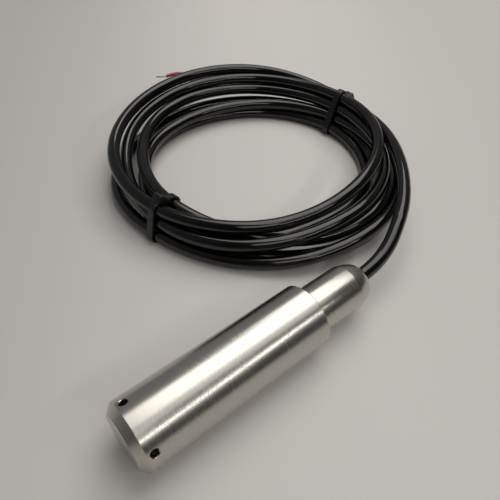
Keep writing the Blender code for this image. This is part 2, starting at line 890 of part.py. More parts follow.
def cable_coil():
    angles = set(range(-180, 180, coil_step_angle))
    for angle in tie_angles:
        angles |= {angle - tie_hold_angle, angle, angle + tie_hold_angle}
    angles = sorted(angles)
    ring = bmesh.new()
    loops = []
    for angle, section in zip(angles, smooth_sections(angles)):
        turn = math.radians(angle)
        loops.append(
            [
                ring.verts.new((radius * math.cos(turn), radius * math.sin(turn), height))
                for radius, height in section_loop(section, 0.0)
            ]
        )
    for index, loop in enumerate(loops):
        before = loops[index - 1]
        for step in range(len(loop)):
            ring.faces.new((loop[step - 1], loop[step], before[step], before[step - 1]))
    bmesh.ops.recalc_face_normals(ring, faces=ring.faces)
    mesh = bpy.data.meshes.new("cable_coil")
    ring.to_mesh(mesh)
    ring.free()
    shade_round(mesh)
    coil = bpy.data.objects.new("cable_coil", mesh)
    probe_parts.objects.link(coil)
    keep(coil, "cable_coil", cable_jacket, coil_frame)


def cable_tie(name, angle, section, head_side):
    curve = bpy.data.curves.new(name, "CURVE")
    curve.dimensions = "3D"
    curve.extrude = tie_width / 2
    spline = curve.splines.new("POLY")
    loop = section_loop(section, seat_gap)
    spline.points.add(len(loop) - 1)
    for knot, (radius, height) in zip(spline.points, loop):
        knot.co = (radius, height, 0.0, 1.0)
    spline.use_cyclic_u = True
    ribbon = bpy.data.objects.new(name, curve)
    probe_parts.objects.link(ribbon)
    mesh = evaluated_mesh(ribbon)
    bpy.data.objects.remove(ribbon, do_unlink=True)
    weld = bmesh.new()
    weld.from_mesh(mesh)
    bmesh.ops.remove_doubles(weld, verts=weld.verts, dist=0.00001)
    bmesh.ops.recalc_face_normals(weld, faces=weld.faces)
    weld.to_mesh(mesh)
    weld.free()
    tie = bpy.data.objects.new(name, mesh)
    probe_parts.objects.link(tie)
    keep(tie, name, tie_nylon, coil_frame)
    tie.rotation_euler = (math.radians(90), 0.0, math.radians(angle))
    wall = tie.modifiers.new("wall", "SOLIDIFY")
    wall.thickness = tie_thickness
    wall.offset = 1.0
    inner, outer, top = section
    flat_half = (outer - inner) / 2 - coil_corner_radius
    head_radius = (inner + outer) / 2 + head_side * (flat_half - tie_head_length / 2)
    head_base = top + seat_gap + tie_thickness / 3
    head = box(
        (tie_head_length, tie_head_height, tie_head_width),
        (head_radius, head_base + tie_head_height / 2, 0.0),
        tie,
        tie_thickness / 3,
    )
    head.name = f"{name}_head"
    combine(tie, make_cutter(head), "UNION")
    end_reach = tie_head_length / 4 + tie_end_length
    strap_end = box(
        (end_reach, tie_thickness, tie_width),
        (
            head_radius + head_side * (tie_head_length / 4 + end_reach / 2),
            head_base + tie_head_height / 2,
            0.0,
        ),
        tie,
        tie_thickness / 4,
    )
    strap_end.name = f"{name}_end"
    combine(tie, make_cutter(strap_end), "UNION")


def cable_runs():
    inner_route = (on_probe(cable_inner_end), on_probe(overall_length))
    tube("cable_lead", (*inner_route, *lead_route), cable_diameter, cable_jacket, cable_point_spacing, 3)
    tube("cable_tail", tail_route, cable_diameter, cable_jacket, cable_point_spacing / 2, 3)
    tube("tail_core_red", red_core_route, core_diameter, red_insulation, wire_point_spacing)
    tube("tail_tip_red", red_tip_route, tip_diameter, tinned_copper, wire_point_spacing)
    tube("tail_core_black", black_core_route, core_diameter, black_insulation, wire_point_spacing)
    tube("tail_tip_black", black_tip_route, tip_diameter, tinned_copper, wire_point_spacing)
    tube("tail_vent_tube", tail_vent_route, vent_tube_diameter, clear_tubing, wire_point_spacing)


sensor_housing()
rear_cap()
capsule_body()
capsule_diaphragm()
capsule_contacts()
capsule_lock_ring()
board_assembly()
inner_wires()
cable_gland()
cable_coil()
for number, tie in enumerate(zip(tie_angles, tie_sections, tie_head_sides), 1):
    cable_tie(f"cable_tie_{number}", *tie)
cable_runs()
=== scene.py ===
import json
import math

import bmesh
import bpy
import numpy as np
from mathutils import Matrix, Vector
from mathutils.geometry import interpolate_bezier


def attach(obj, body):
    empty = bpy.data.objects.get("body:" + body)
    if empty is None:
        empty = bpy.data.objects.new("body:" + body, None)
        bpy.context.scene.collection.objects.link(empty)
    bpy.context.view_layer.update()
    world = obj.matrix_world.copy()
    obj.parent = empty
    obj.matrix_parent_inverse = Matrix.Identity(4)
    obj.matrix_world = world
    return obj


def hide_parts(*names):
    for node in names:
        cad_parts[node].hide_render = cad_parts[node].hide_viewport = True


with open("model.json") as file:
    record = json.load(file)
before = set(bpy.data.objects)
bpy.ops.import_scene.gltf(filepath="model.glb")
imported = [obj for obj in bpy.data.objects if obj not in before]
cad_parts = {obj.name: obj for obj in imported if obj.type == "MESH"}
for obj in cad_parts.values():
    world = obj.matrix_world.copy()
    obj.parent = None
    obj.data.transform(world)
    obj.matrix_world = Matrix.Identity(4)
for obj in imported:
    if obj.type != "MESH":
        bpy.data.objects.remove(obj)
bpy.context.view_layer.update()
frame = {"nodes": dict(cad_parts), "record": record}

scene = bpy.context.scene

# Camera
camera_place = Vector((-0.07209, -0.07995, 0.17188))
camera_target = Vector((0.0412, 0.0535, 0.0))
camera_roll = math.radians(1.0)
camera_data = bpy.data.cameras.new("main_camera")
camera_data.sensor_width = 36.0
camera_data.lens = 35.60
camera_data.clip_start = 0.01
camera = bpy.data.objects.new("main_camera", camera_data)
forward = (camera_target - camera_place).normalized()
level_right = forward.cross(Vector((0.0, 0.0, 1.0))).normalized()
level_up = level_right.cross(forward)
right = level_right * math.cos(camera_roll) + level_up * math.sin(camera_roll)
up = level_up * math.cos(camera_roll) - level_right * math.sin(camera_roll)
turn = Matrix((right, up, -forward)).transposed().to_4x4()
camera.matrix_world = Matrix.Translation(camera_place) @ turn
scene.collection.objects.link(camera)
scene.camera = camera

# Sizes, in metres, as in the solid model
body_radius = 0.0135
body_length = 0.0836
nose_chamfer = 0.0030
nose_wall = 0.0025
rear_edge_bevel = 0.0005
chamber_radius = 0.0085
port_radius = 0.0016
port_setback = 0.0056
port_band = 0.0026
port_first_angle = 65.7
port_edge_break = 0.0003
port_count = 4
port_land = 0.0018
port_drill_depth = 0.0060
port_drill_reach = 0.0040
port_drill_steps = 40
neck_radius = 0.01015
neck_length = 0.0227
dome_length = 0.0084
end_face_radius = 0.0059
dome_rise = ((0.40, 0.15), (0.91, 0.43))
seat_gap = 0.0003
main_bore_radius = neck_radius + seat_gap
capsule_bore_radius = 0.0098
chamber_end = port_setback + port_radius + port_land
capsule_bay_length = 0.0159
main_bore_start = chamber_end + capsule_bay_length
overall_length = body_length + neck_length + dome_length
nose_x = -overall_length / 2
cable_radius = 0.0033
outlet_radius = cable_radius + seat_gap
outlet_edge_break = 0.0004
outlet_wall = 0.0082
outlet_seat = overall_length - outlet_wall
gland_bore_radius = 0.0070
spigot_length = 0.0140
spigot_start = body_length - spigot_length
spigot_chamfer = 0.0008
cap_ring_section = 0.0018
cap_ring_setback = 0.0035
cap_ring_middle = body_length - cap_ring_setback
cable_inner_end = 0.08550
cable_inner_middle = 0.0450
coil_centre = np.array((0.0800, 0.0986))
tie_angles = (-172.0, 6.0)
tie_width = 0.0042
tie_thickness = 0.0011
tie_edge = tie_thickness / 4
tie_clearance = 0.0002
tie_strap_steps = 72
tie_head_sides = (-1, 1)
tie_head_size = (0.0066, 0.0056, 0.0042)
tie_head_bevel = 0.0007
tie_head_tilts = (38, 60)
tie_head_drops = (0.0012, 0.0085)
tie_head_shift = 0.00132
tie_window_size = (0.0026, 0.0036, 0.0020)
tie_window_bevel = 0.0003
tie_end_length = 0.0050
tie_end_overlap = 0.0010
core_radius = 0.0010
tip_radius = 0.00055
vent_radius = 0.0009
turn_steps = 192
dome_segments = 24
cord_rings = 7
cord_steps = 3
turned_sharp_angle = 30
housing_sharp_angle = 25
moulded_sharp_angle = 40


def add_mesh(name, points, faces, material, sharp_angle=turned_sharp_angle):
    mesh = bpy.data.meshes.new(name)
    mesh.from_pydata([tuple(point) for point in points], [], faces)
    mesh.validate()
    mesh.shade_smooth()
    mesh.set_sharp_from_angle(angle=math.radians(sharp_angle))
    mesh.materials.append(material)
    piece = bpy.data.objects.new(name, mesh)
    scene.collection.objects.link(piece)
    return piece


def turned(name, outline, material):
    """Turn (depth, radius) points, a closed loop or one that starts and ends on the axis."""
    points = []
    rings = []
    for depth, radius in outline:
        if radius == 0.0:
            rings.append([len(points)] * turn_steps)
            points.append((nose_x + depth, 0.0, body_radius))
            continue
        ring = []
        for step in range(turn_steps):
            angle = 2 * math.pi * step / turn_steps
            ring.append(len(points))
            points.append(
                (
                    nose_x + depth,
                    -radius * math.sin(angle),
                    body_radius + radius * math.cos(angle),
                )
            )
        rings.append(ring)
    closed = outline[0][1] > 0.0
    pairs = list(zip(rings, rings[1:]))
    if closed:
        pairs.append((rings[-1], rings[0]))
    faces = []
    for first, second in pairs:
        for step in range(turn_steps):
            following = (step + 1) % turn_steps
            corners = (first[step], first[following], second[following], second[step])
            face = tuple(dict.fromkeys(corners))
            if len(face) > 2:
                faces.append(face)
    return add_mesh(name, points, faces, material)


# The cable: listed points to the coil, turns worked out by a loop, listed tail
lead_points = (
    (0.0683, 0.0006, 0.0138),
    (0.0745, 0.0017, 0.0144),
    (0.0795, 0.0028, 0.0155),
    (0.0842, 0.0043, 0.0170),
    (0.0889, 0.0064, 0.0187),
)
tail_points = (
    (0.1298, 0.1740, 0.0150),
    (0.1210, 0.1816, 0.0170),
    (0.1115, 0.1876, 0.0190),
    (0.1025, 0.1920, 0.0205),
)
# Where each pass of the cable lies: angle round the coil, radius and height in millimetres
pass_stations = (
    (
        (-81, 90.8, 20.3), (-75, 87.6, 21.8), (-68, 83.4, 23.2), (-60, 79.4, 24.0), (-50, 76.8, 24.0),
        (-40, 76.2, 22.8), (-24, 78.6, 19.8), (-8, 80.6, 17.2), (6, 82.6, 15.7), (18, 85.8, 18.5),
        (34, 90.0, 23.0), (56, 93.4, 25.2), (80, 88.6, 25.6), (97, 81.4, 26.0), (118, 76.6, 25.4),
        (130, 77.2, 24.2), (145, 75.6, 22.8), (156, 75.0, 21.5), (168, 72.4, 20.0),
    ),
    (
        (-172, 68.0, 17.8), (-160, 65.2, 18.0), (-135, 63.4, 17.6), (-108, 60.4, 18.2), (-78, 60.6, 21.0),
        (-47, 66.4, 23.0), (-23, 74.0, 24.0), (6, 80.5, 21.8), (28, 84.0, 20.0), (51, 85.2, 21.4),
        (66, 84.2, 21.4), (86, 81.4, 21.0), (108, 76.4, 19.4), (123, 74.6, 17.8), (135, 70.5, 16.2),
        (150, 68.3, 14.6), (162, 67.4, 13.0),
    ),
    (
        (-172, 69.0, 11.2), (-146, 70.6, 12.0), (-131, 70.0, 12.8), (-110, 67.8, 13.2), (-94, 68.6, 14.2),
        (-70, 70.4, 15.6), (-50, 73.0, 16.0), (-20, 74.5, 16.0), (6, 77.0, 17.0), (25, 79.2, 15.4),
        (51, 81.0, 15.3), (66, 80.2, 16.0), (87, 76.8, 17.0), (105, 71.0, 15.6), (118, 66.4, 15.4),
        (135, 61.0, 16.2), (153, 58.0, 16.4), (171, 58.6, 17.2),
    ),
    (
        (-172, 61.0, 17.8), (-150, 59.5, 14.5), (-130, 60.0, 10.2), (-95, 69.5, 9.5), (-75, 75.0, 10.8),
        (-55, 77.2, 11.0), (-15, 76.5, 9.5), (6, 75.6, 10.2), (24, 73.2, 10.2), (51, 69.4, 9.8),
        (72, 65.2, 9.8), (98, 62.0, 9.8), (126, 62.4, 9.8), (144, 58.4, 9.8), (160, 58.6, 10.2),
    ),
    (
        (-172, 62.3, 11.2), (-150, 60.0, 7.0), (-130, 58.0, 3.4), (-108, 53.0, 3.4), (-92, 53.0, 3.4),
        (-78, 56.0, 3.4), (-70, 59.5, 3.4), (-60, 62.0, 3.4), (-45, 65.0, 3.4), (-25, 68.2, 3.4),
        (6, 72.6, 3.4), (24, 72.4, 3.4), (51, 70.4, 3.4), (73, 67.8, 3.4), (98, 67.0, 3.4),
        (126, 64.8, 3.4), (140, 60.8, 3.4), (155, 60.0, 3.6),
    ),
    (
        (-172, 62.3, 4.6), (-130, 65.6, 3.4), (-105, 73.0, 3.4), (-91, 77.0, 3.4), (-80, 79.0, 3.4),
        (-55, 79.5, 3.4), (6, 83.0, 3.4), (26, 88.0, 3.4), (51, 87.6, 3.4), (70, 86.6, 3.4),
        (87, 83.2, 3.4), (100, 79.2, 3.4), (114, 76.0, 3.4), (134, 78.0, 3.6), (150, 78.4, 4.0),
        (163, 75.4, 4.0), (176, 72.4, 4.2),
    ),
    (
        (-172, 69.0, 4.6), (-150, 70.6, 4.0), (-130, 72.2, 3.6), (-113, 74.8, 5.5), (-99, 77.0, 8.0),
        (-87, 79.5, 9.4), (-79, 80.8, 9.8), (-55, 82.0, 9.6), (-20, 82.2, 9.4), (6, 83.0, 10.4),
        (22, 86.8, 10.4), (36, 90.0, 10.6), (46, 91.2, 12.6), (51, 91.1, 13.7),
    ),
)
stations_a_turn = 120
strand_spacing = 0.99
strand_room = strand_spacing * 2 * cable_radius
least_distance = 1e-9
smooth_rounds = 12
smooth_share = 0.25
settle_rounds = 700
guided_share = 0.9
guide_share = 0.05
guided_bend_share = 0.30
free_bend_share = 0.10
tie_lift = 0.0013
tie_lift_spread = 14


def coil_strands():
    """Angles, radii and heights along the coil once its strands have settled side by side."""
    angles = []
    places = []
    for index, stations in enumerate(pass_stations):
        for angle, radius, height in stations:
            angles.append(angle + 360 * index)
            places.append((radius / 1000, height / 1000))
    step = 360 / stations_a_turn
    count = int((angles[-1] - angles[0]) / step)
    turn_angles = angles[0] + step * np.arange(count + 1)
    places = np.array(places)
    wanted = np.stack([np.interp(turn_angles, angles, places[:, axis]) for axis in (0, 1)], 1)
    for _ in range(smooth_rounds):
        wanted[1:-1] += smooth_share * (wanted[:-2] + wanted[2:] - 2 * wanted[1:-1])
    strands = wanted.copy()
    passes = int(math.ceil(count / stations_a_turn))
    lift = np.zeros(len(turn_angles))
    for tie_angle in tie_angles:
        away = np.abs((turn_angles - tie_angle + 180) % 360 - 180)
        lift = np.maximum(lift, tie_lift * np.exp(-((away / tie_lift_spread) ** 2)))
    for index in range(settle_rounds):
        guided = index <= guided_share * settle_rounds
        if guided:
            strands += guide_share * (wanted - strands)
        bend = np.zeros_like(strands)
        bend[1:-1] = strands[:-2] + strands[2:] - 2 * strands[1:-1]
        strands += (guided_bend_share if guided else free_bend_share) * bend
        for apart in range(1, passes + 1):
            shift = apart * stations_a_turn
            lower = strands[:-shift]
            upper = strands[shift:]
            if len(lower) == 0:
                break
            between = upper - lower
            distance = np.linalg.norm(between, axis=1, keepdims=True) + least_distance
            push = np.maximum(strand_room - distance, 0.0) * between / distance / 2
            strands[:-shift] -= push
            strands[shift:] += push
        strands[:, 1] = np.maximum(strands[:, 1], cable_radius + lift)
    return turn_angles, strands


def cable_route(angles, strands):
    """The cable's middle line from inside the rear cap to its stripped end."""
    turns = np.radians(angles)
    coil = np.stack(
        [
            coil_centre[0] + strands[:, 0] * np.cos(turns),
            coil_centre[1] + strands[:, 0] * np.sin(turns),
            strands[:, 1],
        ],
        1,
    )
    inner_places = (nose_x + cable_inner_end, cable_inner_middle, -nose_x)
    start = [(place, 0.0, body_radius) for place in inner_places]
    return np.vstack([start, lead_points, coil, tail_points])


def dome_points(start, start_radius, end, end_radius):
    """The rear cap's coned and rounded end as (depth, radius) points."""
    length = end - start
    drop = start_radius - end_radius
    handles = [(start + along * length, start_radius - fall * drop) for along, fall in dome_rise]
    corners = [Vector((*place, 0.0)) for place in ((start, start_radius), *handles, (end, end_radius))]
    return [(place.x, place.y) for place in interpolate_bezier(*corners, dome_segments + 1)]


# Finishes: roughness, its spread, and relief heights in metres
plain_roughness_spread = 0.06
plain_relief = 0.02
plain_relief_height = 0.0002
jacket_shine = 0.55
jacket_roughness = (0.06, 0.13)
jacket_wave_scale = 90.0
jacket_wave_relief = 0.10
jacket_wave_height = 0.0006
jacket_grain_scale = 1400.0
jacket_grain_relief = 0.05
jacket_grain_height = 0.00004
turned_line_scale = 5200.0
turned_line_stretch = 0.012
turned_line_relief = 0.06
turned_line_height = 0.000016
turned_cloud_scale = 60.0
turned_roughness_spread = 0.10
nylon_grain = 1500.0


def new_material(name):
    material = bpy.data.materials.new(name)
    material.use_nodes = True
    nodes = material.node_tree.nodes
    shader = nodes["Principled BSDF"]
    return material, nodes, material.node_tree.links, shader


def plain_material(name, colour, roughness, metallic=0.0, grain=900.0):
    """A finish whose roughness and height vary slightly with fine noise."""
    material, nodes, links, shader = new_material(name)
    shader.inputs["Base Color"].default_value = (*colour, 1.0)
    shader.inputs["Metallic"].default_value = metallic
    place = nodes.new("ShaderNodeTexCoord")
    noise = nodes.new("ShaderNodeTexNoise")
    noise.inputs["Scale"].default_value = grain
    noise.inputs["Detail"].default_value = 3.0
    links.new(place.outputs["Object"], noise.inputs["Vector"])
    level = nodes.new("ShaderNodeMapRange")
    level.inputs["To Min"].default_value = roughness - plain_roughness_spread
    level.inputs["To Max"].default_value = roughness + plain_roughness_spread
    links.new(noise.outputs["Fac"], level.inputs["Value"])
    links.new(level.outputs["Result"], shader.inputs["Roughness"])
    relief = nodes.new("ShaderNodeBump")
    relief.inputs["Strength"].default_value = plain_relief
    relief.inputs["Distance"].default_value = plain_relief_height
    links.new(noise.outputs["Fac"], relief.inputs["Height"])
    links.new(relief.outputs["Normal"], shader.inputs["Normal"])
    return material


def jacket_finish(name, colour):
    """Extruded gloss with a fine grain and a faint, slow waviness."""
    material, nodes, links, shader = new_material(name)
    shader.inputs["Base Color"].default_value = (*colour, 1.0)
    shader.inputs["Specular IOR Level"].default_value = jacket_shine
    place = nodes.new("ShaderNodeTexCoord")
    wave = nodes.new("ShaderNodeTexNoise")
    wave.inputs["Scale"].default_value = jacket_wave_scale
    wave.inputs["Detail"].default_value = 2.0
    links.new(place.outputs["Object"], wave.inputs["Vector"])
    grain = nodes.new("ShaderNodeTexNoise")
    grain.inputs["Scale"].default_value = jacket_grain_scale
    links.new(place.outputs["Object"], grain.inputs["Vector"])
    level = nodes.new("ShaderNodeMapRange")
    level.inputs["To Min"].default_value = jacket_roughness[0]
    level.inputs["To Max"].default_value = jacket_roughness[1]
    links.new(wave.outputs["Fac"], level.inputs["Value"])
    links.new(level.outputs["Result"], shader.inputs["Roughness"])
    slow = nodes.new("ShaderNodeBump")
    slow.inputs["Strength"].default_value = jacket_wave_relief
    slow.inputs["Distance"].default_value = jacket_wave_height
    links.new(wave.outputs["Fac"], slow.inputs["Height"])
    fine = nodes.new("ShaderNodeBump")
    fine.inputs["Strength"].default_value = jacket_grain_relief
    fine.inputs["Distance"].default_value = jacket_grain_height
    links.new(grain.outputs["Fac"], fine.inputs["Height"])
    links.new(slow.outputs["Normal"], fine.inputs["Normal"])
    links.new(fine.outputs["Normal"], shader.inputs["Normal"])
    return material


def turned_finish(name, colour, roughness):
    """Fine turning lines round the probe's axis."""
    material, nodes, links, shader = new_material(name)
    shader.inputs["Base Color"].default_value = (*colour, 1.0)
    shader.inputs["Metallic"].default_value = 1.0
    place = nodes.new("ShaderNodeTexCoord")
    stretch = nodes.new("ShaderNodeMapping")
    stretch.inputs["Scale"].default_value = (1.0, turned_line_stretch, turned_line_stretch)
    links.new(place.outputs["Object"], stretch.inputs["Vector"])
    lines = nodes.new("ShaderNodeTexNoise")
    lines.inputs["Scale"].default_value = turned_line_scale
    lines.inputs["Detail"].default_value = 2.0
    links.new(stretch.outputs["Vector"], lines.inputs["Vector"])
    cloud = nodes.new("ShaderNodeTexNoise")
    cloud.inputs["Scale"].default_value = turned_cloud_scale
    cloud.inputs["Detail"].default_value = 4.0
    links.new(place.outputs["Object"], cloud.inputs["Vector"])
    mix = nodes.new("ShaderNodeMath")
    mix.operation = "MULTIPLY_ADD"
    mix.inputs[1].default_value = turned_roughness_spread
    mix.inputs[2].default_value = roughness - turned_roughness_spread
    total = nodes.new("ShaderNodeMath")
    total.operation = "ADD"
    links.new(lines.outputs["Fac"], total.inputs[0])
    links.new(cloud.outputs["Fac"], total.inputs[1])
    links.new(total.outputs["Value"], mix.inputs[0])
    links.new(mix.outputs["Value"], shader.inputs["Roughness"])
    relief = nodes.new("ShaderNodeBump")
    relief.inputs["Strength"].default_value = turned_line_relief
    relief.inputs["Distance"].default_value = turned_line_height
    links.new(lines.outputs["Fac"], relief.inputs["Height"])
    links.new(relief.outputs["Normal"], shader.inputs["Normal"])
    return material


finishes = {
    "turned_steel": turned_finish("turned_steel_look", (0.52, 0.502, 0.462), 0.26),
    "bright_steel": turned_finish("bright_steel_look", (0.66, 0.65, 0.63), 0.18),
    "foil_steel": plain_material("foil_steel_look", (0.70, 0.69, 0.67), 0.22, 1.0),
    "gold_plate": plain_material("gold_plate_look", (0.83, 0.62, 0.28), 0.22, 1.0),
    "tinned_copper": plain_material("tinned_copper_look", (0.55, 0.54, 0.52), 0.38, 1.0),
    "black_rubber": plain_material("black_rubber_look", (0.02, 0.02, 0.02), 0.60),
    "cable_jacket": jacket_finish("cable_jacket_look", (0.0030, 0.0028, 0.0023)),
    "tie_nylon": plain_material("tie_nylon_look", (0.006, 0.006, 0.006), 0.38, grain=nylon_grain),
    "holder_nylon": plain_material("holder_nylon_look", (0.75, 0.73, 0.68), 0.50),
    "board_laminate": plain_material("board_laminate_look", (0.03, 0.16, 0.07), 0.38),
    "chip_resin": plain_material("chip_resin_look", (0.03, 0.03, 0.03), 0.46),
    "capacitor_sleeve": plain_material("capacitor_sleeve_look", (0.05, 0.06, 0.10), 0.30),
    "terminal_resin": plain_material("terminal_resin_look", (0.05, 0.22, 0.10), 0.40),
    "arrester_ceramic": plain_material("arrester_ceramic_look", (0.80, 0.78, 0.74), 0.32),
    "red_insulation": plain_material("red_insulation_look", (0.42, 0.03, 0.04), 0.34),
    "black_insulation": plain_material("black_insulation_look", (0.02, 0.02, 0.02), 0.34),
    "yellow_insulation": plain_material("yellow_insulation_look", (0.70, 0.50, 0.05), 0.34),
    "clear_tubing": plain_material("clear_tubing_look", (0.72, 0.72, 0.70), 0.28),
}
for subpart in frame["record"]["subparts"]:
    node = frame["nodes"][subpart["node"]]
    node.data.materials.clear()
    node.data.materials.append(finishes[subpart["material_slot"]])


def dress(piece, slot_name, *nodes):
    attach(piece, "root")
    if nodes:
        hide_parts(*nodes)
    return piece


def port_drill(index):
    """A drill for one radial port, which widens outside the body to break its edge."""
    swing = math.radians(port_first_angle + 360 * index / port_count)
    out = Vector((0.0, math.cos(swing), math.sin(swing)))
    across = Vector((1.0, 0.0, 0.0))
    side = out.cross(across)
    middle = Vector((nose_x + port_setback, 0.0, body_radius))
    edge_height = body_radius - port_edge_break
    drill_rings = (
        (edge_height - port_drill_depth, port_radius),
        (edge_height, port_radius),
        (body_radius + port_drill_reach, port_radius + port_drill_reach + port_edge_break),
    )
    points = []
    for height, radius in drill_rings:
        for step in range(port_drill_steps):
            turn_angle = 2 * math.pi * step / port_drill_steps
            offset = across * math.cos(turn_angle) + side * math.sin(turn_angle)
            points.append(middle + out * height + offset * radius)
    faces = []
    for ring in range(len(drill_rings) - 1):
        base = ring * port_drill_steps
        for step in range(port_drill_steps):
            following = (step + 1) % port_drill_steps
            lower = (base + step, base + following)
            upper = (base + port_drill_steps + following, base + port_drill_steps + step)
            faces.append((*lower, *upper))
    faces.append(tuple(reversed(range(port_drill_steps))))
    last = (len(drill_rings) - 1) * port_drill_steps
    faces.append(tuple(range(last, last + port_drill_steps)))
    return add_mesh(f"port_drill_{index + 1}", points, faces, finishes["turned_steel"])


def cut_away(piece, tools):
    """Cut the tools out of a piece and delete them."""
    for tool in tools:
        cut = piece.modifiers.new(tool.name, "BOOLEAN")
        cut.operation = "DIFFERENCE"
        cut.solver = "EXACT"
        cut.object = tool
    bpy.context.view_layer.update()
    graph = bpy.context.evaluated_depsgraph_get()
    mesh = bpy.data.meshes.new_from_object(piece.evaluated_get(graph))
    piece.modifiers.clear()
    piece.data = mesh
    for tool in tools:
        bpy.data.objects.remove(tool, do_unlink=True)


def sensor_housing():
    outline = [
        (0.0, 0.0),
        (0.0, body_radius - nose_chamfer),
        (nose_chamfer, body_radius),
        (port_setback - port_band, body_radius),
        (port_setback + port_band, body_radius),
        (body_length - rear_edge_bevel, body_radius),
        (body_length, body_radius - rear_edge_bevel),
        (body_length, main_bore_radius + rear_edge_bevel),
        (body_length - rear_edge_bevel, main_bore_radius),
        (main_bore_start, main_bore_radius),
        (main_bore_start, capsule_bore_radius),
        (chamber_end, capsule_bore_radius),
        (chamber_end, chamber_radius),
        (nose_wall, chamber_radius),
        (nose_wall, 0.0),
    ]
    housing = turned("housing_shell", outline, finishes["turned_steel"])
    cut_away(housing, [port_drill(index) for index in range(port_count)])
    housing.data.shade_smooth()
    housing.data.set_sharp_from_angle(angle=math.radians(housing_sharp_angle))
    dress(housing, "turned_steel", "sensor_housing")


def rear_cap():
    neck_end = body_length + neck_length
    groove_half = cap_ring_section / 2 + seat_gap
    groove_radius = neck_radius - cap_ring_section - seat_gap
    outline = [
        (spigot_start, gland_bore_radius),
        (spigot_start, neck_radius - spigot_chamfer),
        (spigot_start + spigot_chamfer, neck_radius),
        (cap_ring_middle - groove_half, neck_radius),
        (cap_ring_middle - groove_half, groove_radius),
        (cap_ring_middle + groove_half, groove_radius),
        (cap_ring_middle + groove_half, neck_radius),
        *dome_points(neck_end, neck_radius, overall_length, end_face_radius),
        (overall_length, outlet_radius + outlet_edge_break),
        (overall_length - outlet_edge_break, outlet_radius),
        (outlet_seat, outlet_radius),
        (outlet_seat, gland_bore_radius),
    ]
    dress(turned("cap_shell", outline, finishes["turned_steel"]), "turned_steel", "rear_cap")


def cable_curve(name, route, radius, material):
    curve = bpy.data.curves.new(name, "CURVE")
    curve.dimensions = "3D"
    curve.bevel_depth = radius
    curve.bevel_resolution = cord_rings
    curve.use_fill_caps = True
    curve.resolution_u = cord_steps
    spline = curve.splines.new("NURBS")
    spline.points.add(len(route) - 1)
    for knot, place in zip(spline.points, route):
        knot.co = (*place, 1.0)
    spline.order_u = 4
    spline.use_endpoint_u = True
    curve.materials.append(material)
    piece = bpy.data.objects.new(name, curve)
    scene.collection.objects.link(piece)
    return piece


def strap_outline(centres, offset):
    """The loop that a strap takes round strands at (radius, height) centres."""
    loop = []
    for step in range(tie_strap_steps):
        angle = 2 * math.pi * step / tie_strap_steps
        out = np.array((math.cos(angle), math.sin(angle)))
        furthest = centres[np.argmax(centres @ out)]
        loop.append(furthest + out * (cable_radius + offset))
    return np.array(loop)


def swept_strap(name, loops, material):
    """Join equal rings of points into a closed sleeve."""
    steps = len(loops[0])
    points = [point for ring in loops for point in ring]
    faces = []
    for ring in range(len(loops)):
        base = ring * steps
        next_base = (ring + 1) % len(loops) * steps
        for step in range(steps):
            following = (step + 1) % steps
            faces.append((base + step, base + following, next_base + following, next_base + step))
    return add_mesh(name, points, faces, material, moulded_sharp_angle)


def rounded_box(name, size, bevel, material):
    """A small moulded block with rounded edges."""
    shape = bmesh.new()
    bmesh.ops.create_cube(shape, size=1.0)
    bmesh.ops.scale(shape, vec=size, verts=shape.verts)
    bmesh.ops.bevel(shape, geom=shape.edges[:], offset=bevel, segments=3, affect="EDGES", profile=0.5)
    mesh = bpy.data.meshes.new(name)
    shape.to_mesh(mesh)
    shape.free()
    mesh.shade_smooth()
    mesh.set_sharp_from_angle(angle=math.radians(moulded_sharp_angle))
    mesh.materials.append(material)
    piece = bpy.data.objects.new(name, mesh)
    scene.collection.objects.link(piece)
    return piece


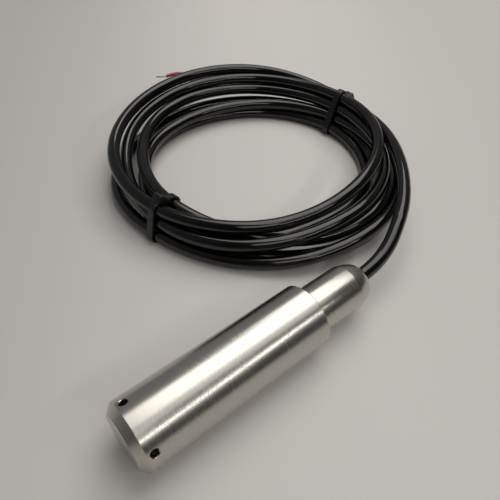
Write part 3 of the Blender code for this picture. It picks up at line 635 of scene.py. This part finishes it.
def cable_tie(index, angle, head_side, head_tilt, head_drop, centres):
    """A strap drawn round the strands, its head and its cut end."""
    nylon = finishes["tie_nylon"]
    turn_angle = math.radians(angle)
    out = Vector((math.cos(turn_angle), math.sin(turn_angle), 0.0))
    along = Vector((-math.sin(turn_angle), math.cos(turn_angle), 0.0))
    middle = Vector((*coil_centre, 0.0))
    half_width = tie_width / 2
    inner = tie_clearance
    outer = tie_clearance + tie_thickness
    profile = (
        (inner, half_width - tie_edge),
        (inner, tie_edge - half_width),
        (inner + tie_edge, -half_width),
        (outer - tie_edge, -half_width),
        (outer, tie_edge - half_width),
        (outer, half_width - tie_edge),
        (outer - tie_edge, half_width),
        (inner + tie_edge, half_width),
    )
    loops = []
    for offset, side in profile:
        outline = strap_outline(centres, offset)
        rise = Vector((0.0, 0.0, 1.0))
        loops.append([middle + out * radius + rise * height + along * side for radius, height in outline])
    strap = swept_strap(f"tie_strap_{index}", loops, nylon)

    outline = strap_outline(centres, outer)
    upper = outline[outline[:, 1] > outline[:, 1].max() - head_drop]
    seat_radius, seat_height = upper[np.argmax(upper[:, 0] * head_side)]
    seat = middle + out * seat_radius + Vector((0.0, 0.0, seat_height))
    tilt = math.radians(head_tilt)
    sideways = out * head_side
    lie = Vector((*(sideways * math.cos(tilt)).xy, -math.sin(tilt)))
    rise = Vector((*(sideways * math.sin(tilt)).xy, math.cos(tilt)))
    basis = Matrix((lie, rise.cross(lie), rise)).transposed().to_4x4()
    half_height = tie_head_size[2] / 2
    head_middle = seat + rise * (half_height - tie_thickness) + lie * tie_head_shift
    head = rounded_box(f"tie_head_{index}", tie_head_size, tie_head_bevel, nylon)
    head.matrix_world = Matrix.Translation(head_middle) @ basis
    window = rounded_box(f"tie_window_{index}", tie_window_size, tie_window_bevel, nylon)
    window.matrix_world = head.matrix_world @ Matrix.Translation((0.0, 0.0, half_height))
    cut_away(head, [window])

    end_size = (tie_end_length, tie_width, tie_thickness)
    end = rounded_box(f"tie_end_{index}", end_size, tie_edge, nylon)
    end_reach = tie_head_size[0] / 2 + tie_end_length / 2 - tie_end_overlap
    end.matrix_world = Matrix.Translation(head_middle + lie * end_reach) @ basis
    dress(strap, "tie_nylon", f"cable_tie_{index}")
    dress(head, "tie_nylon")
    dress(end, "tie_nylon")


def cable_ties(angles, strands):
    rows = zip(tie_angles, tie_head_sides, tie_head_tilts, tie_head_drops)
    for index, (angle, head_side, head_tilt, head_drop) in enumerate(rows, 1):
        near = np.abs((angles - angle + 180) % 360 - 180) < 180 / stations_a_turn
        cable_tie(index, angle, head_side, head_tilt, head_drop, strands[near])


# Stripped far end: cores, their tinned ends and the air tube
far_end_points = {
    "red_core": (
        (0.1042, 0.1914, 0.0209),
        (0.1012, 0.1926, 0.0226),
        (0.0975, 0.1942, 0.0240),
        (0.0920, 0.1950, 0.0246),
        (0.0864, 0.1952, 0.0245),
    ),
    "red_tip": (
        (0.0870, 0.1951, 0.0245),
        (0.0850, 0.1957, 0.0244),
        (0.0833, 0.1967, 0.0244),
        (0.0812, 0.1988, 0.0244),
    ),
    "black_core": (
        (0.1040, 0.1920, 0.0203),
        (0.1024, 0.1932, 0.0202),
        (0.0978, 0.1960, 0.0196),
        (0.0930, 0.1986, 0.0186),
        (0.0884, 0.1998, 0.0178),
    ),
    "black_tip": (
        (0.0890, 0.1997, 0.0179),
        (0.0881, 0.1999, 0.0177),
        (0.0858, 0.2004, 0.0172),
        (0.0836, 0.2008, 0.0166),
    ),
    "air_tube": (
        (0.1036, 0.1910, 0.0203),
        (0.1014, 0.1913, 0.0201),
        (0.0978, 0.1922, 0.0188),
        (0.0945, 0.1932, 0.0172),
    ),
}
far_end_pieces = (
    ("red_core", core_radius, "red_insulation", "tail_core_red"),
    ("red_tip", tip_radius, "tinned_copper", "tail_tip_red"),
    ("black_core", core_radius, "black_insulation", "tail_core_black"),
    ("black_tip", tip_radius, "tinned_copper", "tail_tip_black"),
    ("air_tube", vent_radius, "clear_tubing", "tail_vent_tube"),
)


def stripped_end():
    for name, radius, slot_name, node_name in far_end_pieces:
        piece = cable_curve(name, far_end_points[name], radius, finishes[slot_name])
        dress(piece, slot_name, node_name)


sensor_housing()
rear_cap()
coil_angles, settled_strands = coil_strands()
route = cable_route(coil_angles, settled_strands)
cable = cable_curve("cable", route, cable_radius, finishes["cable_jacket"])
dress(cable, "cable_jacket", "cable_lead", "cable_coil", "cable_tail")
cable_ties(coil_angles, settled_strands)
stripped_end()


# Floor, lamps and surroundings
floor_half_width = 3.0
# Painted light on the floor: the paler band and the darker colour away from it stand in for how the lamps
# light the floor.
painted_light_band_middle = (0.0, -0.04, 0.0)
painted_light_band_angle = math.radians(-36.5)
painted_light_band_half_width = 0.20
floor_painted_lit_colour = (0.735, 0.712, 0.690, 1.0)
floor_painted_shade_colour = (0.600, 0.585, 0.565, 1.0)
floor_roughness = 0.85
sky_dark = (0.04, 0.04, 0.04, 1.0)
sky_light = (0.20, 0.20, 0.20, 1.0)
sky_dark_until = 0.30
sky_light_from = 0.80


def floor_with_painted_light():
    """Matt floor whose colour holds painted light: palest along a band, as a painted pool of lamp light,
    and darker away from it as painted falloff.
    """
    material, nodes, links, shader = new_material("floor_painted_light_look")
    shader.inputs["Roughness"].default_value = floor_roughness
    place = nodes.new("ShaderNodeTexCoord")
    band = nodes.new("ShaderNodeMapping")
    band.vector_type = "TEXTURE"
    band.inputs["Location"].default_value = painted_light_band_middle
    band.inputs["Rotation"].default_value = (0.0, 0.0, painted_light_band_angle)
    across = nodes.new("ShaderNodeSeparateXYZ")
    distance = nodes.new("ShaderNodeMath")
    distance.operation = "ABSOLUTE"
    reach = nodes.new("ShaderNodeMapRange")
    reach.inputs["From Max"].default_value = painted_light_band_half_width
    tone = nodes.new("ShaderNodeValToRGB")
    tone.color_ramp.interpolation = "EASE"
    tone.color_ramp.elements[0].color = floor_painted_lit_colour
    tone.color_ramp.elements[1].color = floor_painted_shade_colour
    links.new(place.outputs["Object"], band.inputs["Vector"])
    links.new(band.outputs["Vector"], across.inputs["Vector"])
    links.new(across.outputs["X"], distance.inputs[0])
    links.new(distance.outputs["Value"], reach.inputs["Value"])
    links.new(reach.outputs["Result"], tone.inputs["Fac"])
    links.new(tone.outputs["Color"], shader.inputs["Base Color"])
    return material


def floor():
    edge = floor_half_width
    mesh = bpy.data.meshes.new("floor")
    corners = [(-edge, -edge, 0), (edge, -edge, 0), (edge, edge, 0), (-edge, edge, 0)]
    mesh.from_pydata(corners, [], [(0, 1, 2, 3)])
    mesh.materials.append(floor_with_painted_light())
    piece = bpy.data.objects.new("floor", mesh)
    scene.collection.objects.link(piece)


def area_lamp(name, place, aim, size, size_y, power, colour):
    data = bpy.data.lights.new(name, "AREA")
    data.shape = "RECTANGLE"
    data.size = size
    data.size_y = size_y
    data.energy = power
    data.color = colour
    lamp = bpy.data.objects.new(name, data)
    lamp.location = place
    lamp.rotation_mode = "QUATERNION"
    lamp.rotation_quaternion = (Vector(aim) - Vector(place)).to_track_quat("-Z", "Y")
    scene.collection.objects.link(lamp)
    return lamp


def surroundings():
    """A dim room that grows lighter towards the coil's side."""
    world = bpy.data.worlds.new("surroundings")
    world.use_nodes = True
    nodes = world.node_tree.nodes
    links = world.node_tree.links
    direction = nodes.new("ShaderNodeTexCoord")
    parts = nodes.new("ShaderNodeSeparateXYZ")
    shift = nodes.new("ShaderNodeMapRange")
    shift.inputs["From Min"].default_value = -1.0
    shift.inputs["From Max"].default_value = 1.0
    ramp = nodes.new("ShaderNodeValToRGB")
    ramp.color_ramp.elements[0].position = sky_dark_until
    ramp.color_ramp.elements[0].color = sky_dark
    ramp.color_ramp.elements[1].position = sky_light_from
    ramp.color_ramp.elements[1].color = sky_light
    links.new(direction.outputs["Generated"], parts.inputs["Vector"])
    links.new(parts.outputs["Y"], shift.inputs["Value"])
    links.new(shift.outputs["Result"], ramp.inputs["Fac"])
    links.new(ramp.outputs["Color"], nodes["Background"].inputs["Color"])
    nodes["Background"].inputs["Strength"].default_value = 1.0
    scene.world = world


floor()
area_lamp("window", (0.57, 0.20, 1.0), (0.57, 0.20, 0.0), 1.04, 0.86, 6.9, (1.0, 0.98, 0.94))
area_lamp("back", (0.85, 0.82, 1.0), (0.85, 0.82, 0.0), 0.60, 0.30, 1.6, (1.0, 0.98, 0.94))
area_lamp("fill", (-0.25, -0.65, 0.9), (0.05, -0.15, 0.0), 0.5, 0.5, 1.5, (1.0, 0.98, 0.95))
area_lamp("edge", (0.40, -0.42, 1.0), (0.40, -0.42, 0.0), 0.80, 0.30, 0.7, (1.0, 0.98, 0.95))
area_lamp("strip", (0.25, -0.77, 0.64), (0.0, 0.0, 0.0), 0.7, 0.05, 1.2, (1.0, 0.98, 0.95))
surroundings()
scene.view_settings.view_transform = "Standard"
